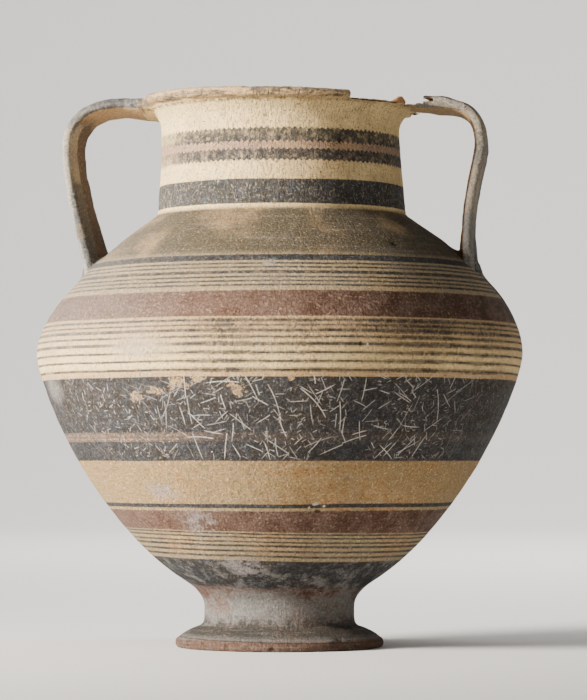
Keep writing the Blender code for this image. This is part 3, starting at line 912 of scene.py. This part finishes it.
class Textures:
    """Noise that several coats of the surface share, all in millimetres of the jar itself."""

    def __init__(self, n):
        self.mm = n.vector("SCALE", n.add("ShaderNodeTexCoord").outputs["Object"], 1000.0)
        self.x, self.y, self.z = n.split(self.mm)
        self.angle = n.math("ARCTAN2", self.y, self.x)
        self.flat = n.join(self.angle * UNROLLED_RADIUS, self.z)
        self.outward = n.join(self.x, self.y)
        self.strap = n.attribute("strap")
        self.face = n.attribute("strap_face")
        below_arm = n.step(self.z, 347.0, 340.0) * n.step(self.x, -60.0, -70.0)
        lowered = n.math("MAXIMUM", 298.0 - self.z, 0.0) * 0.22
        front = n.step(self.y + lowered + n.wobble(self.mm, 0.05, 1.0), -6.0, -9.0)
        self.margin = front * below_arm
        self.hidden = n.step(n.attribute("hidden_side"), 0.4, 0.6)
        self.blotch = n.noise(self.mm, 0.022, 3.0)
        self.cloud = n.noise(self.mm, 0.075, 4.0, 0.6)
        self.patch = n.noise(n.vector("ADD", self.mm, (211.0, 87.0, 35.0)), 0.17, 4.0, 0.62)
        self.grain = n.noise(self.mm, 0.60, 3.0, 0.65)
        self.fine = n.noise(self.mm, 1.5, 2.0, 0.6)
        self.crumbs = n.noise(n.vector("ADD", self.mm, (61.0, 17.0, 135.0)), 0.33, 4.0, 0.72)
        self.streaks = n.noise(n.join(self.angle * 1.6, self.z * 0.55), 1.0, 3.0, 0.6)
        self.brush = n.noise(n.join(self.angle * 2.5, self.z * 1.5), 1.0, 2.0, 0.6)
        self.rings = n.noise(n.join(self.angle * 0.8, self.z * 0.62), 1.0, 3.0, 0.6)
        self.uprights = n.noise(n.join(self.angle * 62.0, self.z * 0.22), 1.0, 2.0, 0.6)
        slow = n.wobble(self.mm, 0.016, 0.42)
        quick = n.wobble(self.mm, 0.16, 0.13)
        leaning = self.x * FOOT_LINES_TILT * n.step(self.z, 90.0, 75.0)
        self.height = self.z + (slow + quick) + leaning
        # How far a place faces the key light on the left; colours below use it for painted highlight and
        # shade
        self.lit_side = n.step(self.towards(n, -0.88, -0.48), -60.0, 110.0)

    def towards(self, n, x, y):
        """How far a place lies from the axis towards a direction in plan."""
        return n.vector("DOT_PRODUCT", self.outward, (x, y, 0.0))


def painted_earthenware():
    """Slip, painted bands, wear and dirt of the jar's whole surface, with painted shade and sheen, worked out
    from its place.
    """
    n = Nodes("painted_earthenware")
    t = Textures(n)
    colour = ground_colour(n, t)

    bare = 1 - n.most(t.hidden, t.strap)
    purple = 0.0
    for low, high in PURPLE_BANDS:
        crumbled = t.height + (t.crumbs - 0.5) * 1.2
        purple = n.most(purple, n.between(crumbled, low, high, 0.45))
    flecks = n.step(t.crumbs * 0.6 + t.grain * 0.5, 0.6, 0.7)
    wash = spots(n, t.mm, n.wobble(t.mm, 0.06, 0.30, 4.0), PALE_WASHES, 0.55)
    purple_cover = 0.94 - (flecks * 0.4 + wash * 0.35)
    # The purple is paler on the lit left side as painted highlight, and in random clouds and streaks
    paled_and_lit = t.cloud + t.streaks * 0.35 + t.lit_side * 0.16
    purple_colour = n.mix(n.step(paled_and_lit, 0.52, 0.88), PURPLE, PURPLE_PALE)
    colour = n.mix(purple * bare * purple_cover, colour, purple_colour)

    dark = dark_paint(n, t, wash) * bare
    strap_paint = strap_cover(n, t)
    ragged = n.wobble(t.mm, 0.16, 1.1, 4.0) + n.wobble(t.mm, 0.5, 0.9, 3.0)
    rubbed = spots(n, t.mm, ragged, RUBBED_SPOTS, 0.22)
    rubbed = rubbed * (0.92 - n.step(t.crumbs, 0.46, 0.58) * 0.6)
    scored = scratch_field(n, t)
    chips = n.step(t.crumbs + t.patch * 0.3, 0.78, 0.84)
    upper = n.step(t.z, 180.0, 240.0)
    wear = n.most(rubbed, chips * (upper * 0.2 + 0.22), flecks * (upper * 0.24 + 0.03))
    dark_share = (dark + strap_paint) * (1 - wear)
    colour = n.mix(dark_share * 0.97, colour, dark_colours(n, t))
    paint = n.most(dark_share, purple * bare)

    colour = deposits_sheen_and_shade(n, t, colour, wash)
    lime = spots(n, t.mm, n.wobble(t.mm, 0.60, 0.75, 3.0), LIME_SPOTS, 0.30)
    shaded_pits = spots(n, t.mm, n.wobble(t.mm, 0.5, 0.25, 3.0), SHADED_PIT_SPOTS)
    colour = n.mix(scored * 0.85, colour, SCRATCH)
    # Painted shade in the dents' hollows
    colour = n.mix(shaded_pits * 0.85, colour, PAINTED_SHADE)
    colour = n.mix(lime * 0.92, colour, LIME)
    dark_specks = n.step(n.noise(t.mm, 0.80, 2.0, 0.5), 0.60, 0.67)
    pale_specks = n.step(n.noise(n.vector("ADD", t.mm, (33.0, 71.0, 9.0)), 0.70, 2.0, 0.5), 0.61, 0.68)
    colour = n.mix(dark_specks * (0.62 - paint * 0.2), colour, STAIN)
    calm = 1 - n.most(n.step(t.z, 66.0, 50.0) * 0.85, n.between(t.z, 252.0, 284.0, 2.0) * 0.5)
    colour = n.mix(pale_specks * calm * (0.4 - paint * 0.33), colour, CREAM)
    shade = t.fine * 1.2 + t.grain * 1.45 - 0.33
    colour = n.mix(1.0, colour, n.join(shade, shade, shade), "MULTIPLY")
    n.wire(colour, n.shader.inputs["Base Color"])

    rough = t.grain * 0.16 + 0.8 - paint * 0.12
    n.wire(rough, n.shader.inputs["Roughness"])
    n.shader.inputs["Specular IOR Level"].default_value = 0.12

    raised_by = t.grain * 0.5 + t.crumbs * 0.6 + t.fine * 0.14 + t.brush * 0.1
    bump(n, raised_by - upright_marks(n, t) * 0.5 - dark_specks * 0.14 - shaded_pits * 0.9)
    return n.material


def strap_cover(n, t):
    """How much paint is left on the handles: outer face, worn sides with a dark run beside the inner face."""
    edge = t.face + n.wobble(t.mm, 0.06, 0.1)
    painted = n.step(edge, -0.72, -0.60)
    edge = edge - n.step(t.z, 312.0, 288.0) * 0.42
    run_width = n.wobble(t.mm, 0.02, 0.36) + n.wobble(t.mm, 0.11, 0.2, 3.0)
    worn = n.step(edge + run_width, -0.36, -0.08)
    on_arm = n.step(t.z, 338.0, 350.0)
    left_dark = on_arm * n.step(edge + n.wobble(t.mm, 0.12, 0.25, 3.0), -0.2, 0.25)
    worn = worn * (1 - left_dark) * n.step(t.face, 0.97, 0.8)
    worn = worn * (n.step(t.crumbs, 0.66, 0.5) * 0.34 + 0.52)
    worn = worn * (1 - on_arm * 0.55)
    aged = n.step(t.patch + t.crumbs * 0.5, 0.66, 0.96) * 0.5
    faded = n.between(t.z, 306.0, 330.0, 8.0) * (n.step(t.face, 0.97, 0.8) * 0.45)
    left_side = n.step(t.x, -60.0, -70.0)
    corner = n.between(t.z, 308.0, 340.0, 6.0) * left_side * n.step(t.face, 0.8, 0.5)
    corner = corner * (0.95 - n.step(t.patch, 0.54, 0.64) * 0.6)
    right_side = (1 - left_side) * (n.step(t.face, 0.95, 0.75) * 0.72)
    cover = painted * (1 - n.most(worn, faded, aged, corner, right_side))
    run = t.margin * n.step(t.z + n.wobble(t.mm, 0.1, 8.0), 312.0, 300.0) * 0.88
    return n.most(cover, run * n.step(t.face, 0.2, -0.3)) * t.strap


def upright_marks(n, t):
    """Short upright marks that a wiping hand left on the neck, thickest at the front right. They cut into the
    relief, and the ground colour darkens along them as painted shade.
    """
    on_neck = n.between(t.z, 287.0, 356.0, 3.0)
    there = n.step(t.towards(n, 0.75, -0.66), -30.0, 60.0)
    weight = on_neck * there * 0.8 + 0.2
    return n.step(t.uprights, 0.52, 0.66) * weight


def dark_paint(n, t, wash):
    """How much of the dark paint lies at each place, wear left aside."""
    teeth = n.math("SINE", t.angle * float(TEETH) + n.wobble(t.mm, 0.05, 1.2))
    tooth = (teeth + n.wobble(t.mm, 0.4, 0.9)) * TOOTH_DEPTH
    thin = n.step(t.patch * 0.55 + t.crumbs * 0.75, 0.6, 0.78)
    bald = n.step(t.towards(n, -0.97, -0.24), 66.0, 80.0)
    toothed = 0.0
    for low, high in TOOTHED_BANDS:
        upper = n.step(t.height + tooth, high - 0.2, high - 0.9)
        lower = n.step(t.height - tooth, low + 0.2, low + 0.9)
        toothed = n.most(toothed, upper * lower)
    toothed_cover = 0.97 - (thin * 0.3 + bald * t.patch * 0.9)
    dark = toothed * n.most(toothed_cover, 0.06)
    for low, high in DARK_BANDS:
        dark = n.most(dark, n.between(t.height, low, high))
    reserve = n.between(t.height + n.wobble(t.mm, 0.01, 0.4), *RESERVED_STRIPE, soft=0.4)
    ruled = n.step(n.math("SINE", t.height * 2.6), -0.2, 0.8)
    bared = n.step(t.towards(n, -0.94, -0.34), 55.0, 112.0) * 0.74
    bared = bared * (ruled * 0.34 + 0.46)
    kept = n.step(t.crumbs + t.patch * 0.5, 0.68, 0.86) * 0.75
    bared = bared * (1.05 - kept)
    reserve = reserve * (bared * 0.85 + 0.06)
    dark = dark * (1 - reserve)
    facing = n.step(t.towards(n, 0.42, -0.91), 95.0, 135.0)
    full = facing * ((n.step(t.blotch, 0.36, 0.56) * 0.5 + 0.4) * (1 - n.step(t.crumbs, 0.5, 0.62) * 0.55))
    broad = n.most(thin_lines(n, t.height + 0.75, LINES_ON_BELLY),
                   thin_lines(n, t.height - 0.75, LINES_ON_BELLY))
    lines = n.most(thin_lines(n, t.height, LINES_ON_SHOULDER), thin_lines(n, t.height, LINES_ON_BELLY),
                   thin_lines(n, t.height, LINES_OVER_FOOT), broad * full)
    worn = n.step(t.cloud + t.crumbs * 0.5, 0.92, 0.62)
    line_cover = worn * 0.26 + 0.72 - wash * 0.62
    dark = n.most(dark, lines * line_cover)
    return n.most(dark, lip_paint(n, t), tails(n, t))


def dark_colours(n, t):
    """The dark paint's own colour: charcoal, with bluish, brownish and purplish parts."""
    colour = n.mix(n.step(t.blotch, 0.38, 0.64), DARK, DARK_WARM)
    on_neck = n.step(t.z, 270.0, 285.0)
    bluish = n.step(t.patch + t.streaks * 0.4, 0.58, 0.86) + on_neck * 0.4
    colour = n.mix(bluish * 0.62, colour, GREY_BLUE)
    purplish = n.step(t.cloud + t.brush * 0.3, 0.62, 0.8)
    colour = n.mix(purplish * 0.45, colour, GREY_PURPLE)
    colour = n.mix(n.step(t.rings, 0.5, 0.72) * 0.45, colour, GREY_BLUE)
    return n.mix(n.step(t.crumbs, 0.54, 0.74) * 0.1, colour, DEPOSIT)


def deposits_sheen_and_shade(n, t, colour, wash):
    """Pale crust and dust, thick on the stem and the foot, and smears elsewhere, with a painted sheen on the
    lit left side and a painted shade line at the foot's edge.
    """
    dust = n.step(t.grain + t.cloud * 0.5, 0.7, 1.05)
    # A pale film on the left side that faces the key light: dust with a painted sheen
    sheen_and_film = n.step(t.towards(n, -0.99, -0.14), 45.0, 150.0)
    upper = n.step(t.z, 178.0, 200.0)
    colour = n.mix(dust * 0.12 + sheen_and_film * upper * 0.22, colour, DEPOSIT)
    on_foot = n.step(t.z, 47.0, 34.0) * n.step(t.z, 14.0, 19.0)
    red_wash = on_foot * n.step(t.patch + t.blotch * 0.7, 0.8, 0.96)
    colour = n.mix(red_wash * 0.5, colour, PURPLE_PALE)
    for shapes, share, tint in ((STEM_WASHES, 0.75, FOOT_CRUST), (STEM_REDS, 0.60, PURPLE_PALE)):
        washed = spots(n, t.mm, n.wobble(t.mm, 0.07, 0.45, 4.0), shapes, 0.5)
        colour = n.mix(washed * share, colour, tint)
    # A painted shade line around the top of the foot's edge, where it meets the flare
    shade_line = n.between(t.height, 5.6, 6.4, 0.25)
    colour = n.mix(shade_line * 0.75, colour, PAINTED_SHADE)
    crust = n.step(t.patch + t.cloud * 0.8, 0.78, 1.05)
    colour = n.mix(on_foot * crust * 0.75, colour, FOOT_CRUST)
    low_paint = n.between(t.z, 40.0, 60.0, 4.0)
    whitened = low_paint * n.step(t.patch + t.cloud, 0.94, 1.28) * 0.34
    colour = n.mix(whitened, colour, DEPOSIT)
    colour = n.mix(wash * 0.4, colour, DEPOSIT)
    smear = spots(n, t.mm, n.wobble(t.mm, 0.08, 0.40, 4.0), SMEARS, 0.6)
    smear = smear * n.step(t.patch + t.crumbs * 0.5, 0.6, 0.85)
    return n.mix(smear * 0.75, colour, LILAC)


def ground_colour(n, t):
    """The slip under the paint, by height, with its stains, and painted shade on the upper shoulder, under
    the lip and on the handles' inner faces.
    """
    top = 364.0
    # From 254 to 283.5 the upward-facing upper shoulder is painted dark as shade
    stops = ((0, FOOT_EDGE_CLAY), (6.6, FOOT_EDGE_CLAY), (7.3, FOOT_CRUST), (8.0, FOOT_CRUST),
             (8.8, FLANGE_GREY), (17, FLANGE_GREY), (24, FOOT_CRUST), (36, FLANGE_GREY), (62, LINE_GROUND),
             (90, LINE_GROUND), (97, YELLOW), (120, YELLOW), (134, PINK_CLAY), (141, PINK_CLAY),
             (176, CREAM_ORANGE), (182, CREAM), (205, CREAM_ORANGE), (230, LINE_GROUND), (250, LINE_GROUND),
             (254, SHOULDER_SHADE_AND_DARK_CLAY), (283.5, SHOULDER_SHADE_AND_DARK_CLAY), (285, CREAM), (312, CREAM), (322.5, PINK_CLAY),
             (326, PINK_CLAY), (330, CREAM), (352, CREAM), (356, CREAM_ORANGE))
    colour = n.ramp(n.math("DIVIDE", t.z, top), [(h / top, c) for h, c in stops])
    above_foot = n.step(t.z, 48.0, 66.0)
    colour = n.mix(n.step(t.blotch, 0.5, 0.7) * above_foot * 0.42, colour, CREAM_ORANGE)
    colour = n.mix(n.step(t.cloud, 0.52, 0.78) * 0.34, colour, SHOULDER_SHADE_AND_DARK_CLAY)
    stained = n.step(t.patch + t.blotch * 0.6, 0.8, 0.98)
    stained = stained * (n.between(t.z, 60.0, 125.0, 8.0) * 0.85 + 0.15)
    colour = n.mix(stained * 0.5, colour, ORANGE_STAIN)
    colour = n.mix(n.step(t.grain, 0.55, 0.76) * 0.34, colour, STAIN)
    colour = n.mix(n.step(t.streaks, 0.5, 0.72) * 0.2, colour, DEPOSIT)
    # A painted shadow line under the lip's overhang, strongest on the lit left side
    shade_line = n.between(t.z, 352.2, 353.9, 0.5) * n.step(t.crumbs, 0.42, 0.58)
    colour = n.mix(shade_line * (t.lit_side * 0.55 + 0.25), colour, PAINTED_SHADE)
    # Painted shade along the upright marks on the neck
    colour = n.mix(upright_marks(n, t) * 0.3, colour, STAIN)
    colour = n.mix(t.hidden, colour, n.mix(n.step(t.cloud, 0.4, 0.7), CLAY_INSIDE, STAIN))
    # The handles' inner faces are painted dark as shade, lighter under the arm where the clay shows lit
    shaded_inner_face = t.strap * n.step(t.face, -0.5, -0.7) * (1 - t.margin)
    colour = n.mix(t.strap * 0.85, colour, STRAP_GREY)
    inner_face_shade = n.mix(n.step(t.cloud, 0.36, 0.62), DARK_CLAY_AND_SHADE, CLAY_SHADED)
    inner_face_shade = n.mix(n.step(t.z + n.wobble(t.mm, 0.05, 3.0), 342.0, 350.0), inner_face_shade, CREAM_ORANGE)
    return n.mix(shaded_inner_face, colour, inner_face_shade)


def lip_paint(n, t):
    """What is left of the dark paint along the lip."""
    on_lip = n.between(t.z, 354.4, 362.0, 0.6)
    left = n.noise(n.join(t.angle * 3.2, t.z * 0.16), 1.0, 5.0, 0.66)
    left = n.step(left + t.z * -0.012, -3.82, -3.74)
    return on_lip * left * (n.step(t.crumbs, 0.58, 0.44) * 0.4 + 0.4)


def tails(n, t):
    """The dark stripe painted down the shoulder from each handle's root."""
    stripes = 0.0
    for handle in (LEFT, RIGHT):
        a = math.radians(handle["bearing"])
        aside = t.towards(n, -math.sin(a), math.cos(a))
        ahead = t.towards(n, math.cos(a), math.sin(a))
        half = (t.z - 206.0) * 0.38 + 9.0
        edge = n.math("ABSOLUTE", aside + n.wobble(t.mm, 0.04, 1.2)) - half
        stripe = n.step(edge, 0.8, -0.8) * n.step(ahead, 60.0, 61.0)
        stripes = n.most(stripes, stripe * n.between(t.z, 206.0, 262.0, 1.0))
    return stripes * 0.92


def scratch_field(n, t):
    """Pale scratches: thick on the dark zone in front, some on the neck's dark band, few elsewhere."""
    long_ones = n.most(*[scratches(n, t.flat, *layer) for layer in LONG_SCRATCHES])
    crossing = scratches(n, t.flat, *CROSSING_SCRATCHES)
    short_ones = scratches(n, t.flat, *SHORT_SCRATCHES)
    nicks = scratches(n, t.flat, *NICKS)
    more_nicks = scratches(n, t.flat, *MORE_NICKS)
    zone = n.between(t.z, 124.0, 176.0, 2.0)
    turned = n.math("DIVIDE", t.angle + math.radians(75), math.radians(48))
    front = n.step(n.math("ABSOLUTE", turned), 1.15, 0.45)
    left = n.math("DIVIDE", t.angle + math.radians(128), math.radians(22))
    left = n.step(n.math("ABSOLUTE", left), 1.1, 0.5)
    neck_band = n.between(t.z, 287.0, 302.0, 1.0)
    patchy = n.step(t.cloud, 0.36, 0.55)
    heavy = n.most(long_ones * 1.45, crossing * 1.2) * (zone * (front * 0.95 + 0.04))
    by_place = (n.most(front, left) * 0.65 + 0.3) * n.step(t.blotch, 0.38, 0.54)
    small = n.most(short_ones * 0.9, nicks * 0.75, more_nicks * patchy)
    light = small * n.most(zone * by_place, neck_band * 0.5)
    stray = more_nicks * (patchy * (n.step(t.z, 230.0, 100.0) * 0.16 + 0.1))
    return n.most(heavy, light, stray)


def fractured_clay():
    """The clay's core where the lip and the right handle have broken."""
    n = Nodes("fractured_clay")
    mm = n.vector("SCALE", n.add("ShaderNodeTexCoord").outputs["Object"], 1000.0)
    cloud = n.noise(mm, 0.16, 4.0, 0.65)
    grain = n.noise(mm, 0.9, 4.0, 0.7)
    a = math.radians(SPIKE_ANGLE)
    spike = (86.0 * math.cos(a), 86.0 * math.sin(a), 358.5)
    near = n.step(n.vector("LENGTH", n.vector("SUBTRACT", mm, spike), (0, 0, 0)), 11.0, 6.0)
    weathered = n.mix(n.step(cloud, 0.42, 0.62), DARK_CLAY_AND_SHADE, CREAM_ORANGE)
    weathered = n.mix(n.step(grain, 0.5, 0.72), weathered, STAIN)
    fresh = n.mix(n.step(grain, 0.45, 0.7), CLAY_FRESH, CREAM_ORANGE)
    n.wire(n.mix(near, weathered, fresh), n.shader.inputs["Base Color"])
    n.wire(grain * 0.15 + 0.8, n.shader.inputs["Roughness"])
    n.shader.inputs["Specular IOR Level"].default_value = 0.25
    bump(n, grain * 0.5 + cloud * 0.6)
    return n.material


def bump(n, lift):
    """Raises the surface by a height in millimetres."""
    made = n.add("ShaderNodeBump")
    made.inputs["Strength"].default_value = 1.0
    made.inputs["Distance"].default_value = 0.001
    n.wire(lift, made.inputs["Height"])
    n.wire(made.outputs["Normal"], n.shader.inputs["Normal"])


# Floor, light and camera
def studio():
    """A pale floor that curves up into its own backdrop all round."""
    flat_reach, reach, rise = 3.4, 6.0, 3.2
    floor = np.array([(0.8, 0.0), (2.0, 0.0), (flat_reach, 0.0)])
    curve = bezier((flat_reach, 0), (reach * 0.85, 0), (reach, rise * 0.35), (reach, rise), 24)
    profile = np.vstack((floor, curve[1:]))
    made = bmesh.new()
    middle = made.verts.new((0, 0, 0))
    angles = [ROUND * k / FLOOR_SIDES for k in range(FLOOR_SIDES)]
    rings = [[made.verts.new((r * math.cos(a), r * math.sin(a), z)) for a in angles] for r, z in profile]
    for k in range(FLOOR_SIDES):
        m = (k + 1) % FLOOR_SIDES
        made.faces.new((middle, rings[0][k], rings[0][m]))
        for low, high in zip(rings, rings[1:]):
            made.faces.new((low[k], high[k], high[m], low[m]))
    mesh = bpy.data.meshes.new("studio_floor")
    made.to_mesh(mesh)
    made.free()
    mesh.shade_smooth()
    floor_piece = bpy.data.objects.new("studio_floor", mesh)
    bpy.context.scene.collection.objects.link(floor_piece)
    n = Nodes("studio_floor")
    n.shader.inputs["Base Color"].default_value = (0.66, 0.65, 0.63, 1)
    n.shader.inputs["Roughness"].default_value = 0.9
    n.shader.inputs["Specular IOR Level"].default_value = 0.1
    mesh.materials.append(n.material)


def light(name, place, target, size, power, colour, spread):
    lamp = bpy.data.lights.new(name, "AREA")
    lamp.shape = "DISK"
    lamp.size = size
    lamp.energy = power
    lamp.color = colour
    lamp.spread = math.radians(spread)
    piece = bpy.data.objects.new(name, lamp)
    piece.location = place
    piece.rotation_euler = (Vector(target) - Vector(place)).to_track_quat("-Z", "Y").to_euler()
    piece.visible_camera = False
    bpy.context.scene.collection.objects.link(piece)


def lights():
    """A large soft key from the left front, as in the photo, with a weak fill and a pale surround."""
    middle = (0, 0, 0.19)
    light("key", (-1.88, -1.05, 0.80), middle, 0.8, 39.0, (1.0, 0.945, 0.87), 62.0)
    light("fill", (1.9, -1.6, 0.9), middle, 1.8, 1.2, (0.95, 0.97, 1.0), 80.0)
    light("backdrop", (0.2, 1.3, 2.9), (0, 4.6, 0.0), 2.4, 250.0, (1.0, 0.99, 0.97), 150.0)
    light("backdrop_behind_camera", (0.2, -1.9, 2.9), (0, -4.6, 0.0), 2.4, 120.0, (1.0, 0.99, 0.97), 110.0)
    world = bpy.data.worlds.new("studio")
    world.use_nodes = True
    world.node_tree.nodes["Background"].inputs["Color"].default_value = (0.92, 0.94, 1.0, 1)
    world.node_tree.nodes["Background"].inputs["Strength"].default_value = 0.12
    bpy.context.scene.world = world


def camera():
    data = bpy.data.cameras.new("camera")
    data.sensor_width = SENSOR
    data.lens = FOCUS_PIXELS * SENSOR / max(PHOTO_WIDTH, PHOTO_HEIGHT)
    piece = bpy.data.objects.new("camera", data)
    a = math.radians(CAMERA_AZIMUTH)
    right = Vector((math.cos(a), math.sin(a), 0))
    back = Vector((math.sin(a), -math.cos(a), 0))
    piece.location = back * CAMERA_DISTANCE + right * CAMERA_ASIDE + Vector((0, 0, CAMERA_HEIGHT))
    pitch = math.atan(HORIZON_BELOW_CENTRE / FOCUS_PIXELS)
    piece.rotation_euler = (math.pi / 2 + pitch, 0, a)
    bpy.context.scene.collection.objects.link(piece)
    bpy.context.scene.camera = piece


def main():
    camera()
    jar = build_jar()
    jar.data.materials[0] = painted_earthenware()
    jar.data.materials[1] = fractured_clay()
    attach(jar, "root")
    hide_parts("amphora")
    studio()
    lights()


main()
